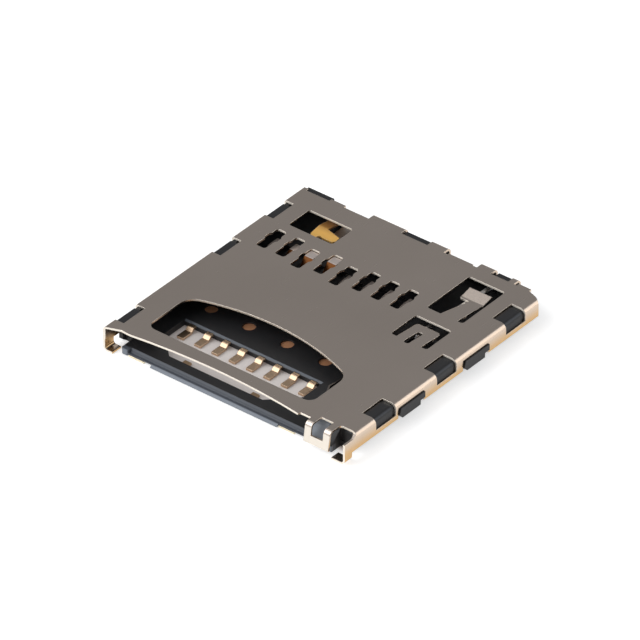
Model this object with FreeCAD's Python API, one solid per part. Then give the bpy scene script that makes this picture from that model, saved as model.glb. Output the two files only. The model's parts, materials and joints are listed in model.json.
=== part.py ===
"""Memory card connector for a circuit board, push to insert and push to eject.

Millimetres. x runs across the mouth, y runs into the connector, z goes up from the board.
The origin is on the board, below the middle of the cover's box. The slider is at its
front stop, as it is with no card in.
"""
import FreeCAD, Part
import math
import os
from FreeCAD import Vector

os.makedirs("parts", exist_ok=True)

# Cover: stamped and folded sheet
width = 14.0                 # over the side walls
height = 1.28                # board to top face
cover_sheet = 0.10
cover_bend = 0.15            # inside radius of the folds of tabs and feet
left_bend = 0.02             # inside radius of the left side fold, nearly sharp
right_bend = 0.20            # inside radius of the right side fold
wall_low = 0.43              # lower edge of the side walls
rear_edge = 6.92             # rear edge of the flat top
rear_face = 7.45             # outer face of the rear tabs
right = width / 2
left = -right
left_strip = (0.30, 0.16)    # the left fold reaches further back: its width and reach
rear_tabs = ((-3.04, 1.88), (0.36, 0.95))           # left end, length
rear_corner_tabs = ((3.79, 0.80), (1.99, 0.32))     # left end from the right side, length
rear_lips = ((left + 1.66, 0.85, 0.16), (1.55, 1.40, 0.08), (right - 1.50, 0.71, 0.16))  # and reach
rear_corner = ((0.79, 0.0), (0.29, 0.17), (0.0, 0.32))     # cut off corner: in from the right, forward

# Front edge of the cover
front_arc_left = left + 1.30
front_arc_mid_y = -6.65
front_arc_end_y = -6.98
left_shoulder_x = left + 0.81
left_shoulder_y = -6.95
tab_step = 0.13              # step of the edge beside the front tab
tab_left = right - 2.35
front_arc_right = tab_left - 0.65
tab_width = 1.40
tab_fold_y = -7.00
tab_low = 0.31
tab_lean = 9.5               # degrees that the front tab leans out
tab_window_width = 0.68
tab_window_back = -6.55
tab_window_low = 0.70
corner_notch_back = -6.50
corner_notch_right = right - 0.34
notch_round = 0.14

# Soldering feet of the cover
left_leg_front = -7.25
left_leg_length = 0.62
right_leg_front = -7.40
right_leg_length = 0.52
left_foot_reach = 0.52
right_foot_reach = 0.78
nose_top = 1.07              # upper edge of the right wall beside the corner notch
nose_back = -6.80

# Windows of the cover that wrap the side folds
left_windows = (-5.72, 1.15, 4.95)
left_window_length = 1.50
left_window_in = left + 0.56
right_windows = (-4.46, -0.10, 4.92)
right_window_length = 1.42
right_window_in = right - 0.79
side_window_low = 0.68

# Blocks of the housing that fill these windows
boss_recess = 0.08           # below the cover's outer faces
boss_gap = 0.04
boss_rear_gap = 0.20

# Latches of the housing in notches of the side walls
right_latches = (-2.66, 2.00)
left_latches = (-2.66, 3.05)
latch_length = 1.82
latch_top = 0.94
latch_low = 0.40
latch_proud = 0.08
latch_hook = 0.33            # short overhang at the rear of each latch
latch_slant = 0.20

# Crescent window in front of the contacts
crescent_left = left + 1.50
crescent_right = right - 3.05
crescent_crown = 4.35        # from its left end to the crown of the arch
crescent_front = -5.97
crescent_back = -2.30
crescent_radius = 12.3
crescent_shoulder = 0.85
crescent_round = 0.45

# Slots over the contact tips
contact_count = 8
contact_pitch = 1.10
row_x = -1.64
slot_back = 3.70
slot_length = 1.62
slot_width = 0.56
slot_waist = 0.68            # from the rear end to the wider waist
slot_bulge = 0.08            # extra half width of the waist
slot_bulge_length = 0.26
slot_bulge_slope = 0.14
power_shift = 0.28           # slots 3 and 5 sit nearer the mouth
power_slots = (2, 4)

# Switch window
switch_left = -5.59
switch_right = -3.04
switch_front = 4.26
switch_back = 5.78
window_round = 0.14

# Tongue windows over the cam pin
cam_window_left = right - 3.61
cam_window_right = right - 1.56
pivot_window_front = 3.03
pivot_window_back = 6.15
pivot_slit = 0.30
pivot_tongue_left = right - 2.80
pivot_tongue_top_left = right - 2.51
pivot_tongue_slant = 0.02
pivot_head_left = right - 3.06
pivot_head_right = right - 1.81
pivot_head_y = 4.85
pivot_head_length = 0.65
pivot_dip = 0.15             # how far the tongue reaches down to the pin
tip_window_front = 0.42
tip_window_back = 2.25
tip_slit = 0.34
tip_tongue_end = 1.90
tip_tongue_round = 0.18
tip_slot_left = right - 2.79
tip_slot_width = 0.30
tip_slot_front = 0.25
tip_slot_length = 1.15
tip_dip = 0.11

# Housing: black moulding
housing_gap = 0.02           # between housing and cover
housing_low = 0.04
floor_top = 0.35
left_rail = 0.23
right_wall_in = right - 0.80
undercut_x = right - 0.55    # the right wall is cut back below the cover's edge
corner_room = 0.08           # housing inside the cover's cut off corner
rear_wall = 0.32
rear_wall_top = 0.85
rear_keys = ((left + 0.30, 1.33), (-1.12, 1.43), (right - 2.82, 0.80))     # left end, length
rail_front = -6.28
rail_low_front = -6.06
rail_chin = 0.20             # height below which the rail's front is cut back
wall_front = -6.37
wall_bevel = 0.20
sill_back = -6.15
sill_left = left + 0.80
sill_right = right - 1.05
sill_flat_front = -6.69
sill_foot = -6.80            # foot of the sill's steep front face
ledge_top = 0.16
ledge_front = -6.93
post_width = 0.40            # round post at the sill's left end
post_front = -6.97
post_round = 0.12
lip_front = -7.06
lip_low = 0.05
lip_left = -4.45
lip_right = 2.86
front_window_room = (0.33, 0.26)   # beside the outer tails, left and right
front_window_back = -3.41
front_window_bevel = 0.10
gusset = 1.28
hole_count = 4
hole_y = -2.10
hole_radius = 0.32
stop_left = right - 2.44
stop_front = -6.32
ramp_front = -7.02
ramp_top = 1.05

# Contacts
contact_sheet = 0.12
contact_bend = 0.04
tail_row_x = -1.34
tail_pitch = 1.00
tail_width = 0.36
tail_front = -4.45
tail_knee = -3.84
tail_rise = 0.16
strip_z = 0.20
strip_jog_front = -3.25
strip_jog_back = -2.60
hole_pad_reach = 0.80        # every second strip is widened below a hole, from its middle
hole_pad_half = 0.36
beam_front = -0.55
beam_width = 0.40
beam_knee_z = 0.68
spoon_width = 0.50
crown_gap = 0.06             # from the crown's rear end to the slot's rear end
crown_length = 0.46
crown_run = 0.40             # length of the slope up to the crown
crown_tops = (0.80, 0.95, 1.20, 1.20, 0.80, 0.80, 0.80, 0.80)
nose_length = 0.14
nose_drop = 0.16
beam_side_gap = 0.13
insert_gap = 0.01

# Soldering fittings under the sill
fitting_sheet = 0.10
left_pad_in = 1.67           # from the left side
right_pad_x = 3.32
pad_width = 0.88
pad_front = -6.96
fitting_bar_y = -6.45
fitting_bar_width = 0.28
left_tie_x = -3.35
right_tie_x = 0.58
tie_width = 0.38
tie_reach = 0.49

# Card-detect switch
switch_sheet = 0.10
switch_bend = 0.06
switch_tail = 0.24
detect_left = -4.75
detect_stem_width = 0.53
detect_low = 0.66            # height of the blade in the rear wall
detect_crest_y = 5.45
detect_crest_z = 0.92
detect_front = 4.70
detect_front_z = 0.80
detect_corner = 0.12
detect_notch = 0.14          # radius of the round notch in the front edge
detect_arm_end = -3.40
detect_arm_front = 4.86
detect_arm_back = 5.24
detect_arm_root = 5.43
fixed_left = -4.12
fixed_width = 0.68
fixed_z = 0.60
fixed_front = 5.02

# Eject slider and its cam track
slide_gap = 0.02
slider_in = 3.65             # from the right side to its left face
slider_width = 1.85
slider_front = -4.80
slider_back = 1.92
slider_top = 0.69
lug_in = 0.86
lug_back = -3.05
lug_top = 1.05
travel_locked = 3.80
travel_over = 0.80
track_left_in = 2.95         # middles of the lanes, from the right side
track_right_in = 2.25
track_floor = 0.43
island_back = 0.10
island_neck = 0.55
lock_depth = 0.22

# Cam pin
pin_radius = 0.14
pin_gap = 0.07               # between pin and track walls
pin_axis_z = 0.87
pin_tip_y = 1.50
pin_tip_low = 0.46
pivot_in = 2.60
pivot_y = 6.78
pivot_low = 0.42
pivot_gap = 0.03
pivot_boss_half = 0.42
pin_bend = 0.22

# Leaf that holds the card
leaf_sheet = 0.08
leaf_bend = 0.10
leaf_front = -4.25
leaf_back = -1.05
leaf_bulge = 0.32
leaf_bulge_y = -3.75
leaf_root = 0.45
leaf_low = 0.42
leaf_top = 0.64
leaf_room = 0.22

# Eject spring
spring_in = 1.28
spring_z = 0.66
spring_radius = 0.33         # to the middle of the wire
wire_radius = 0.06
wire_sides = 6               # the drawn wire's section as a fine prism
spring_turns = 10
spring_room = 0.44
spring_floor = 0.20
spring_seat = 4.30

# Worked out from the sizes above
under = height - cover_sheet
fold = cover_bend + cover_sheet
right_fold = right_bend + cover_sheet
body_left = left + cover_sheet + housing_gap
body_right = right - cover_sheet - housing_gap
body_back = rear_face - cover_sheet - housing_gap
body_top = under - housing_gap
rear_inner = body_back - rear_wall
tab_right = tab_left + tab_width
slider_left = right - slider_in
slider_right = slider_left + slider_width
lug_right = right - lug_in
track_left_lane = right - track_left_in
track_right_lane = right - track_right_in
pivot_x = right - pivot_in
spring_x = right - spring_in
left_pad_x = left + left_pad_in
tail_row_half = tail_pitch * (contact_count - 1) / 2 + tail_width / 2
front_window_left = tail_row_x - tail_row_half - front_window_room[0]
front_window_right = tail_row_x + tail_row_half + front_window_room[1]
rear_tabs += tuple((right - inset, length) for inset, length in rear_corner_tabs)
far = 30.0


def slab(x0, x1, y0, y1, z0, z1):
    """A plain block between two corners."""
    return Part.makeBox(x1 - x0, y1 - y0, z1 - z0, Vector(x0, y0, z0))


def plate(points, z0, z1):
    """An upright prism on a plan outline."""
    wire = Part.makePolygon([Vector(x, y, z0) for x, y in points + points[:1]])
    return Part.Face(wire).extrude(Vector(0, 0, z1 - z0))


def along_x(points, x0, x1):
    """A prism on an outline given as y and z, running along x."""
    wire = Part.makePolygon([Vector(x0, y, z) for y, z in points + points[:1]])
    return Part.Face(wire).extrude(Vector(x1 - x0, 0, 0))


def is_upright(edge):
    if len(edge.Vertexes) < 2:
        return False
    a, b = edge.Vertexes[0].Point, edge.Vertexes[1].Point
    return abs(a.x - b.x) < 1e-6 and abs(a.y - b.y) < 1e-6


def rounded(x0, x1, y0, y1, z0, z1, radius):
    """A block with its four upright edges rounded."""
    block = slab(x0, x1, y0, y1, z0, z1)
    return block.makeFillet(radius, [e for e in block.Edges if is_upright(e)])


def bent_strip(path, thickness, inside):
    """The section of a sheet bent along a path of corners, as lines and tangent arcs in a plane."""
    half = thickness / 2
    middle = inside + half
    pieces = []
    start = path[0]
    for before, corner, after in zip(path, path[1:], path[2:]):
        into = Vector(corner[0] - before[0], corner[1] - before[1], 0).normalize()
        out = Vector(after[0] - corner[0], after[1] - corner[1], 0).normalize()
        turn = into.getAngle(out)
        side_sign = 1.0 if into.cross(out).z > 0 else -1.0
        back = middle * math.tan(turn / 2)
        p = Vector(corner[0], corner[1], 0) - into * back
        q = Vector(corner[0], corner[1], 0) + out * back
        centre = p + Vector(-into.y, into.x, 0) * (side_sign * middle)
        mid = centre + ((p + q) * 0.5 - centre).normalize() * middle
        pieces.append(("line", Vector(start[0], start[1], 0), p))
        pieces.append(("arc", p, mid, q, centre, side_sign))
        start = (q.x, q.y)
    pieces.append(("line", Vector(start[0], start[1], 0), Vector(path[-1][0], path[-1][1], 0)))

    def edges(offset):
        made = []
        for piece in pieces:
            if piece[0] == "line":
                along = (piece[2] - piece[1]).normalize()
                shift = Vector(-along.y, along.x, 0) * offset
                made.append((piece[1] + shift, None, piece[2] + shift))
            else:
                scale = (middle - piece[5] * offset) / middle
                made.append(tuple(piece[4] + (point - piece[4]) * scale for point in piece[1:4]))
        return made

    left = edges(half)
    right = [(c, b, a) for a, b, c in reversed(edges(-half))]
    loop = left + [(left[-1][2], None, right[0][0])] + right + [(right[-1][2], None, left[0][0])]
    curves = []
    for a, b, c in loop:
        curves.append(Part.makeLine(a, c) if b is None else Part.Arc(a, b, c).toShape())
    return Part.Face(Part.Wire(curves))


def strip_along_x(path, thickness, inside, x0, x1):
    """A bent sheet whose path is given as y and z."""
    face = bent_strip(path, thickness, inside)
    face.rotate(Vector(0, 0, 0), Vector(1, 0, 0), 90)
    face.rotate(Vector(0, 0, 0), Vector(0, 0, 1), 90)
    face.translate(Vector(x0, 0, 0))
    return face.extrude(Vector(x1 - x0, 0, 0))


def strip_along_y(path, thickness, inside, y0, y1):
    """A bent sheet whose path is given as x and z."""
    face = bent_strip(path, thickness, inside)
    face.rotate(Vector(0, 0, 0), Vector(1, 0, 0), 90)
    face.translate(Vector(0, y0, 0))
    return face.extrude(Vector(0, y1 - y0, 0))


def merged(shapes):
    """All shapes fused into one, with shared faces joined."""
    return shapes[0].multiFuse(shapes[1:]).removeSplitter()


def write(name, shape):
    """Writes one sub-part."""
    shape.exportStep(f"parts/{name}.step")


def slot_y(index):
    """Rear end of a contact slot."""
    return slot_back - (power_shift if index in power_slots else 0.0)


def contact_x(index):
    return row_x + (index - (contact_count - 1) / 2) * contact_pitch


def tail_x(index):
    return tail_row_x + (index - (contact_count - 1) / 2) * tail_pitch


def cover_channel():
    """Flat top with both side walls folded down, each fold with its own radius."""
    mid = cover_sheet / 2
    back = rear_edge + left_strip[1]
    left_half = strip_along_y([(left + mid, wall_low), (left + mid, height - mid), (0, height - mid)],
                              cover_sheet, left_bend, right_leg_front, back)
    right_half = strip_along_y([(right - mid, wall_low), (right - mid, height - mid), (0, height - mid)],
                               cover_sheet, right_bend, right_leg_front, back)
    behind = slab(left + left_strip[0], far, rear_edge, far, 0, 2 * height)
    return merged([left_half, right_half]).cut(behind).cut(rear_corner_cut(0.0))


def rear_corner_cut(room):
    """What is cut off at the rear right corner, in plan."""
    slope = [(right - across - room, rear_edge - forward - room) for across, forward in rear_corner]
    end = slope[-1][1]
    return plate([(slope[0][0], far)] + slope + [(far, end), (far, far)], 0, 2 * height)


def front_outline_cut():
    """What is cut off in front of the flat top, with the hollow middle edge."""
    middle = (front_arc_left + front_arc_right) / 2
    points = [(left, left_leg_front), (left_shoulder_x, left_shoulder_y), (front_arc_left, front_arc_end_y)]
    step_y = front_arc_end_y + tab_step
    rest = [(front_arc_right, front_arc_end_y), (front_arc_right + tab_step / 2, step_y),
            (tab_left, step_y), (tab_left, tab_fold_y), (tab_right, tab_fold_y), (tab_right, -far),
            (-far, -far), (-far, left_leg_front), (left, left_leg_front)]
    curves = [Part.makeLine(Vector(*a, 0), Vector(*b, 0)) for a, b in zip(points, points[1:])]
    curves.append(Part.Arc(Vector(front_arc_left, front_arc_end_y, 0), Vector(middle, front_arc_mid_y, 0),
                           Vector(front_arc_right, front_arc_end_y, 0)).toShape())
    curves += [Part.makeLine(Vector(*a, 0), Vector(*b, 0)) for a, b in zip(rest, rest[1:])]
    return Part.Face(Part.Wire(curves)).extrude(Vector(0, 0, 2 * height))


def corner_notch():
    """The open corner between the front tab and the right wall, and the wall's lowered nose."""
    notch = rounded(tab_right, corner_notch_right, -far, corner_notch_back, under - fold, 2 * height,
                    notch_round)
    nose = along_x([(corner_notch_back, 2 * height), (corner_notch_back, under), (nose_back, nose_top),
                    (-far, nose_top), (-far, 2 * height)], corner_notch_right - notch_round, far)
    return [notch, nose]


def crescent_window():
    """The large window before the contacts: an arched rear edge and a straight front edge."""
    crown = crescent_left + crescent_crown
    disc = Part.makeCylinder(crescent_radius, 2 * height, Vector(crown, crescent_back - crescent_radius, 0))
    block = slab(crescent_left, crescent_right, crescent_front, crescent_back + crescent_shoulder,
                 0, 2 * height)
    window = block.common(disc)
    middle = (crescent_front + crescent_back) / 2
    shoulders = [e for e in window.Edges if is_upright(e) and e.Vertexes[0].Y > middle]
    window = window.makeFillet(crescent_shoulder, shoulders)
    corners = [e for e in window.Edges if is_upright(e) and abs(e.Vertexes[0].Y - crescent_front) < 1e-6]
    return window.makeFillet(crescent_round, corners)


def contact_slot(index):
    """One slot over a contact tip, with its wider waist."""
    x = contact_x(index)
    back = slot_y(index)
    half = slot_width / 2
    slot = rounded(x - half, x + half, back - slot_length, back, 0, 2 * height, window_round)
    waist = back - slot_waist
    wide = half + slot_bulge
    short = slot_bulge_length / 2
    long = short + slot_bulge_slope
    bulge = plate([(x - half, waist + long), (x - wide, waist + short), (x - wide, waist - short),
                   (x - half, waist - long), (x + half, waist - long), (x + wide, waist - short),
                   (x + wide, waist + short), (x + half, waist + long)], 0, 2 * height)
    return slot.fuse(bulge)


def tongue_windows():
    """The two openings that leave the pressure tongues free."""
    pivot = rounded(cam_window_left, cam_window_right, pivot_window_front, pivot_window_back,
                    0, 2 * height, window_round)
    tip = rounded(cam_window_left, cam_window_right, tip_window_front, tip_window_back,
                  0, 2 * height, window_round)
    return [pivot, tip]


def pivot_tongue():
    """Tongue over the pin's pivot end, with a wider head curled up."""
    mid = height - cover_sheet / 2
    low = mid - pivot_dip
    root = pivot_window_front - window_round
    path = [(root - 0.3, mid), (root + 0.25, mid), (pivot_head_y, low),
            (pivot_head_y + pivot_head_length, low + pivot_dip)]
    sheet = strip_along_x(path, cover_sheet, cover_bend, cam_window_left, cam_window_right)
    slit_x = cam_window_right - pivot_slit
    neck = plate([(pivot_tongue_left - 0.1, root - 0.2), (pivot_tongue_left, pivot_window_front + 0.1),
                  (pivot_tongue_top_left, pivot_head_y), (slit_x + pivot_tongue_slant, pivot_head_y),
                  (slit_x, pivot_window_front + 0.1), (slit_x, root - 0.2)], 0, 2 * height)
    head = rounded(pivot_head_left, pivot_head_right, pivot_head_y - 0.12, far, 0, 2 * height, 0.08)
    return sheet.common(neck.fuse(head))


def tip_tongue():
    """Tongue over the pin's moving tip, with a slit down its middle."""
    mid = height - cover_sheet / 2
    low = mid - tip_dip
    root = tip_window_front
    path = [(root - 0.3, mid), (root + 0.1, mid), (tip_tongue_end - 0.25, low), (tip_tongue_end, low)]
    sheet = strip_along_x(path, cover_sheet, cover_bend, cam_window_left, cam_window_right)
    outline = rounded(cam_window_left + tip_slit, cam_window_right - tip_slit, root - 0.5, tip_tongue_end,
                      0, 2 * height, tip_tongue_round)
    return sheet.common(outline)


def cover_leg(sign, front, length, reach):
    """A front leg with its soldering foot turned in."""
    mid = cover_sheet / 2
    x = sign * (right - mid)
    return strip_along_y([(x, wall_low + 0.2), (x, mid), (sign * (right - reach), mid)],
                         cover_sheet, cover_bend, front, front + length)


def tip_slit_cut():
    return rounded(tip_slot_left, tip_slot_left + tip_slot_width, tip_slot_front,
                   tip_slot_front + tip_slot_length, 0, 2 * height, window_round)


def front_tab():
    """The tab folded down beside the mouth, with the window that wraps its fold."""
    mid = height - cover_sheet / 2
    lean = math.radians(tab_lean)
    face = tab_fold_y - fold + cover_sheet / 2
    drop = mid - tab_low
    path = [(tab_fold_y + 0.3, mid), (face, mid), (face - drop * math.tan(lean), tab_low)]
    tab = strip_along_x(path, cover_sheet, cover_bend, tab_left, tab_right)
    middle = (tab_left + tab_right) / 2
    window = slab(middle - tab_window_width / 2, middle + tab_window_width / 2,
                  -far, tab_window_back, tab_window_low, 2 * height)
    return tab, window


def rear_tab(start, length):
    """One tab folded down over the housing's rear wall."""
    mid = height - cover_sheet / 2
    back = rear_face - cover_sheet / 2
    return strip_along_x([(rear_edge - 0.3, mid), (back, mid), (back, wall_low)],
                         cover_sheet, cover_bend, start, start + length)


def latch_notches():
    """Openings in the side walls' lower edges for the housing's latches."""
    cuts = []
    for sign, places in ((-1, left_latches), (1, right_latches)):
        x0, x1 = sorted((sign * (right - right_fold), sign * (right + right_fold)))
        for y in places:
            cuts.append(slab(x0, x1, y - latch_length / 2 - housing_gap, y + latch_length / 2 + housing_gap,
                             0, latch_top + housing_gap))
    return cuts


def side_windows():
    """Windows that wrap the folds along both sides."""
    cuts = []
    for y in left_windows:
        cuts.append(slab(-far, left_window_in, y - left_window_length / 2, y + left_window_length / 2,
                         side_window_low, 2 * height))
    for y in right_windows:
        cuts.append(slab(right_window_in, far, y - right_window_length / 2,
                         y + right_window_length / 2, side_window_low, 2 * height))
    return cuts


def cover():
    body = cover_channel()
    tab, tab_window = front_tab()
    body = body.cut(front_outline_cut())
    for cut in corner_notch():
        body = body.cut(cut)
    rear = [rear_tab(start, length) for start, length in rear_tabs]
    lips = [slab(start, start + length, rear_edge - 0.1, rear_edge + reach, under, height)
            for start, length, reach in rear_lips]
    legs = [cover_leg(-1, left_leg_front, left_leg_length, left_foot_reach),
            cover_leg(1, right_leg_front, right_leg_length, right_foot_reach)]
    body = merged([body, tab] + rear + lips + legs)
    cuts = [tab_window, crescent_window()] + tongue_windows() + side_windows() + latch_notches()
    cuts += [contact_slot(i) for i in range(contact_count)]
    cuts.append(rounded(switch_left, switch_right, switch_front, switch_back, 0, 2 * height, window_round))
    body = body.cut(Part.makeCompound(cuts))
    body = merged([body, pivot_tongue(), tip_tongue()])
    return body.cut(tip_slit_cut())


def contact_sheet_form(index):
    """Side view of one contact: tail on the board, strip in the floor, sprung beam and crown."""
    half = contact_sheet / 2
    top = crown_tops[index] - half
    back = slot_y(index) - crown_gap
    front = back - crown_length
    path = [(tail_front, half), (tail_knee, half), (tail_knee + tail_rise, strip_z), (beam_front, strip_z),
            (front - crown_run, beam_knee_z), (front, top), (back, top),
            (back + nose_length, top - nose_drop)]
    x = contact_x(index)
    return strip_along_x(path, contact_sheet, contact_bend, x - contact_pitch, x + contact_pitch)


def contact_outline(index):
    """Plan of one contact, from the tail row's pitch to the slots' pitch."""
    x, t = contact_x(index), tail_x(index)
    tail, beam, spoon = tail_width / 2, beam_width / 2, spoon_width / 2
    back = slot_y(index) - crown_gap
    front = back - crown_length
    end = back + nose_length + contact_sheet
    outline = [(t + tail, tail_front - 0.1), (t + tail, strip_jog_front), (x + tail, strip_jog_back)]
    if index % 2 == 0:
        outline += [(x + tail, hole_y - hole_pad_half), (x + hole_pad_reach, hole_y - hole_pad_half),
                    (x + hole_pad_reach, hole_y + hole_pad_half), (x + tail, hole_y + hole_pad_half)]
    outline += [(x + tail, beam_front - beam_side_gap), (x + beam, beam_front),
                (x + beam, front - crown_run - spoon), (x + spoon, front - crown_run / 2),
                (x + spoon, back - crown_gap), (x + beam, end)]
    outline += [(x - beam, end), (x - spoon, back - crown_gap), (x - spoon, front - crown_run / 2),
                (x - beam, front - crown_run - spoon), (x - beam, beam_front),
                (x - tail, beam_front - beam_side_gap), (x - tail, strip_jog_back),
                (t - tail, strip_jog_front), (t - tail, tail_front - 0.1)]
    return outline


def contact(index):
    return contact_sheet_form(index).common(plate(contact_outline(index), -1.0, 2 * height))


def contact_channel(index):
    """Room in the housing's floor for one contact's strip and the pocket below its beam."""
    half = contact_sheet / 2 + insert_gap
    strip = plate(contact_outline(index), strip_z - half, strip_z + half)
    x = contact_x(index)
    reach = spoon_width / 2 + beam_side_gap / 2
    back = slot_y(index) + 2 * beam_side_gap
    pocket = slab(x - reach, x + reach, beam_front - contact_bend - contact_sheet, back,
                  strip_z - half, floor_top + 0.1)
    return [strip.cut(pocket), pocket]


def housing_floor():
    """Floor with its bevelled front window, open at the left corner, and the sill in front."""
    floor = plate([(body_left, body_back), (body_left, rail_low_front), (sill_left, rail_low_front),
                   (sill_left, sill_back - 0.05), (sill_right, sill_back - 0.05), (sill_right, wall_front),
                   (undercut_x, wall_front), (undercut_x, body_back)], housing_low, floor_top)
    window = plate([(front_window_left, front_window_back - front_window_bevel),
                    (front_window_right, front_window_back - front_window_bevel),
                    (front_window_right, sill_back + gusset), (front_window_right - gusset, sill_back),
                    (front_window_left + gusset, sill_back), (front_window_left, sill_back + gusset)],
                   -1.0, height)
    bevel = along_x([(front_window_back - 2 * front_window_bevel, floor_top - front_window_bevel),
                     (front_window_back - front_window_bevel, floor_top - front_window_bevel),
                     (front_window_back, floor_top), (front_window_back, height),
                     (front_window_back - 2 * front_window_bevel, height)],
                    front_window_left, front_window_right)
    return merged([floor, sill()]).cut(window).cut(bevel)


def sill():
    """The sill across the mouth: steep front face, ledge over the fittings, lip and round end post."""
    pad_room = fitting_sheet + insert_gap
    bar = along_x([(sill_back - 0.05, housing_low), (sill_back - 0.05, floor_top),
                   (sill_flat_front, floor_top), (sill_foot, ledge_top), (ledge_front, ledge_top),
                   (ledge_front, pad_room), (sill_foot, pad_room), (sill_foot, housing_low)],
                  sill_left + post_round, sill_right)
    lip = along_x([(sill_foot + 0.05, housing_low), (sill_foot + 0.05, ledge_top), (ledge_front, ledge_top),
                   (lip_front, lip_low), (lip_front, housing_low)], lip_left, lip_right)
    post = slab(sill_left, sill_left + post_width, post_front, sill_back, housing_low, floor_top)
    round_edges = [e for e in post.Edges if is_upright(e) and e.Vertexes[0].Y < sill_foot]
    return merged([bar, lip, post.makeFillet(post_round, round_edges)])


def housing_sides():
    """Left rail, right wall with its undercut, rear wall and its keys."""
    rail = along_x([(rail_front, rail_chin), (rail_front, body_top), (body_back, body_top),
                    (body_back, housing_low), (rail_low_front, housing_low)],
                   body_left, body_left + left_rail)
    wall = along_x([(wall_front, housing_low), (wall_front, body_top - wall_bevel),
                    (wall_front + wall_bevel, body_top), (body_back, body_top), (body_back, housing_low)],
                   right_wall_in, body_right)
    undercut = slab(undercut_x, far, -far, far, -1.0, wall_low)
    stop = slab(stop_left, right_wall_in + 0.1, stop_front, slider_front - slide_gap, housing_low, body_top)
    ramp = along_x([(ramp_front, housing_low), (ramp_front, floor_top), (stop_front, ramp_top),
                    (stop_front + 0.1, ramp_top), (stop_front + 0.1, housing_low)], stop_left, sill_right)
    back = slab(body_left, body_right, rear_inner, body_back, housing_low, rear_wall_top)
    keys = [slab(start, start + length, rear_inner, body_back, rear_wall_top - 0.1, body_top)
            for start, length in rear_keys]
    boss = slab(pivot_x - pivot_boss_half, pivot_x + pivot_boss_half, boss_front(), rear_inner + 0.1,
                housing_low, pin_axis_z - pin_bend - slide_gap)
    seat = slab(spring_x - spring_room, right_wall_in + 0.1, spring_seat, rear_inner + 0.1,
                housing_low, spring_z + spring_room)
    return [rail, wall.cut(undercut), stop, ramp, back.cut(undercut), boss, seat] + keys


def boss_front():
    """Front face of the pivot boss, clear of the slider at the end of its travel."""
    return slider_back + travel_locked + travel_over + slide_gap


def round_long_edges(body):
    """Rounds the moulding's long upper right edge to fit inside the cover's fold."""
    edges = []
    for edge in body.Edges:
        if len(edge.Vertexes) < 2 or is_upright(edge):
            continue
        ends = [vertex.Point for vertex in edge.Vertexes]
        if all(abs(p.z - body_top) < 1e-6 and abs(p.x - body_right) < 1e-6 for p in ends):
            edges.append(edge)
    return body.makeFillet(right_bend, edges)


def side_block(sign, inner, y, length, fold_radius):
    """One block that fills a side window of the cover nearly flush."""
    outer = right - boss_recess
    x0, x1 = sorted((sign * outer, inner + sign * boss_gap))
    block = slab(x0, x1, y - length / 2 + boss_gap, y + length / 2 - boss_rear_gap,
                 side_window_low + housing_gap, height - boss_recess)
    edges = [e for e in block.Edges if not is_upright(e) and all(
        abs(v.X - sign * outer) < 1e-6 and abs(v.Z - height + boss_recess) < 1e-6 for v in e.Vertexes)]
    return block.makeFillet(fold_radius - boss_recess, edges)


def side_blocks():
    blocks = [side_block(-1, left_window_in, y, left_window_length, left_bend + cover_sheet)
              for y in left_windows]
    blocks += [side_block(1, right_window_in, y, right_window_length, right_fold) for y in right_windows]
    return blocks


def latch(sign, y):
    """One side latch: a hooked block that fills a notch of the cover's wall."""
    front, back = y - latch_length / 2, y + latch_length / 2
    step = wall_low + latch_slant
    outline = [(front, step), (front + latch_slant / 2, latch_top), (back, latch_top),
               (back, step), (back - latch_hook, step), (back - latch_hook, latch_low),
               (front + latch_slant, latch_low)]
    x0, x1 = sorted((sign * (right - cover_sheet - 0.2), sign * (right + latch_proud)))
    return along_x(outline, x0, x1)


def spring_channel():
    return slab(spring_x - spring_room, spring_x + spring_room, slider_front, spring_seat,
                spring_floor, body_top)


def fitting(pad_x, tie_x):
    """One soldering fitting: pad in front, bar in the sill, tie end behind the sill."""
    pad = slab(pad_x - pad_width / 2, pad_x + pad_width / 2, pad_front, fitting_bar_y, 0, fitting_sheet)
    low, high = sorted((pad_x, tie_x))
    bar = slab(low, high, fitting_bar_y - fitting_bar_width / 2, fitting_bar_y + fitting_bar_width / 2,
               0, fitting_sheet)
    tie = slab(tie_x - tie_width / 2, tie_x + tie_width / 2, fitting_bar_y, sill_back + tie_reach,
               0, fitting_sheet)
    return merged([pad, bar, tie])


def fitting_room(pad_x, tie_x):
    """The recess below the sill that a fitting lies in."""
    g = insert_gap
    pad = slab(pad_x - pad_width / 2 - g, pad_x + pad_width / 2 + g, -far,
               fitting_bar_y + fitting_bar_width / 2, -1.0, fitting_sheet + g)
    low, high = sorted((pad_x, tie_x))
    bar = slab(low - g, high + g, fitting_bar_y - fitting_bar_width / 2 - g,
               fitting_bar_y + fitting_bar_width / 2 + g, -1.0, fitting_sheet + g)
    tie = slab(tie_x - tie_width / 2 - g, tie_x + tie_width / 2 + g, fitting_bar_y,
               sill_back + tie_reach + g, -1.0, fitting_sheet + g)
    return [pad, bar, tie]


def switch_path(z):
    """From a tail on the board, up through the rear wall to a height."""
    half = switch_sheet / 2
    rise = rear_inner + rear_wall / 2
    return [(rise + switch_tail, half), (rise, half), (rise, z)]


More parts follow.
